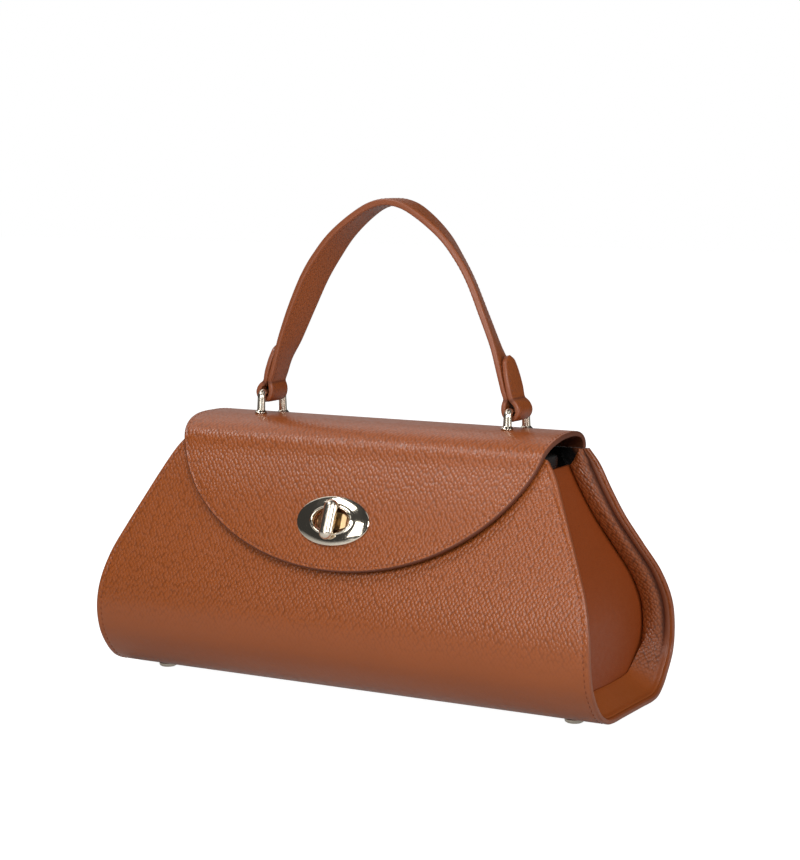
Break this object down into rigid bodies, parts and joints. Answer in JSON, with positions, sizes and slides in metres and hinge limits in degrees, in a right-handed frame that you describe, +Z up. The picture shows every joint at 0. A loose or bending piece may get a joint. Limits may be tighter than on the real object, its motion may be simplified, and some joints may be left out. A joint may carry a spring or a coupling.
{
  "type": "handbag",
  "caption": "Structured leather top-handle handbag with a flared body, recessed end panels, a domed flap closed by an oval turn lock, and a strap handle on wire staples.",
  "frame": {"origin": "on the floor, under the middle of the bag, level with the undersides of its studs", "axes": "+X along the bag to its right end seen from the front, +Y from the front to the back, +Z up"},
  "size_m": [0.307, 0.1129, 0.2692],
  "materials": {
    "pebbled_leather": "tan pebbled leather with a soft sheen and painted edges",
    "smooth_leather": "smooth brown leather",
    "black_lining": "smooth black lining leather",
    "gold_metal": "polished pale gold plate"
  },
  "bodies": {
    "bag": {"body_shell": "pebbled_leather", "side_facing_left": "pebbled_leather", "side_facing_right": "pebbled_leather", "flap": "pebbled_leather", "handle_strap": "pebbled_leather", "gusset_left": "smooth_leather", "gusset_right": "smooth_leather", "lining": "black_lining", "lock_plate": "gold_metal", "lock_base": "gold_metal", "handle_staple_left": "gold_metal", "handle_staple_right": "gold_metal", "foot_front_left": "gold_metal", "foot_front_right": "gold_metal", "foot_back_left": "gold_metal", "foot_back_right": "gold_metal"},
    "toggle": {"lock_toggle": "gold_metal"}
  },
  "joints": [
    {"name": "toggle_turn", "type": "hinge", "parent": "bag", "child": "toggle", "pos_m": [-0.0027, -0.04455, 0.09818], "axis": [0, -0.9239, 0.3827], "range_deg": [0, 90]}
  ]
}
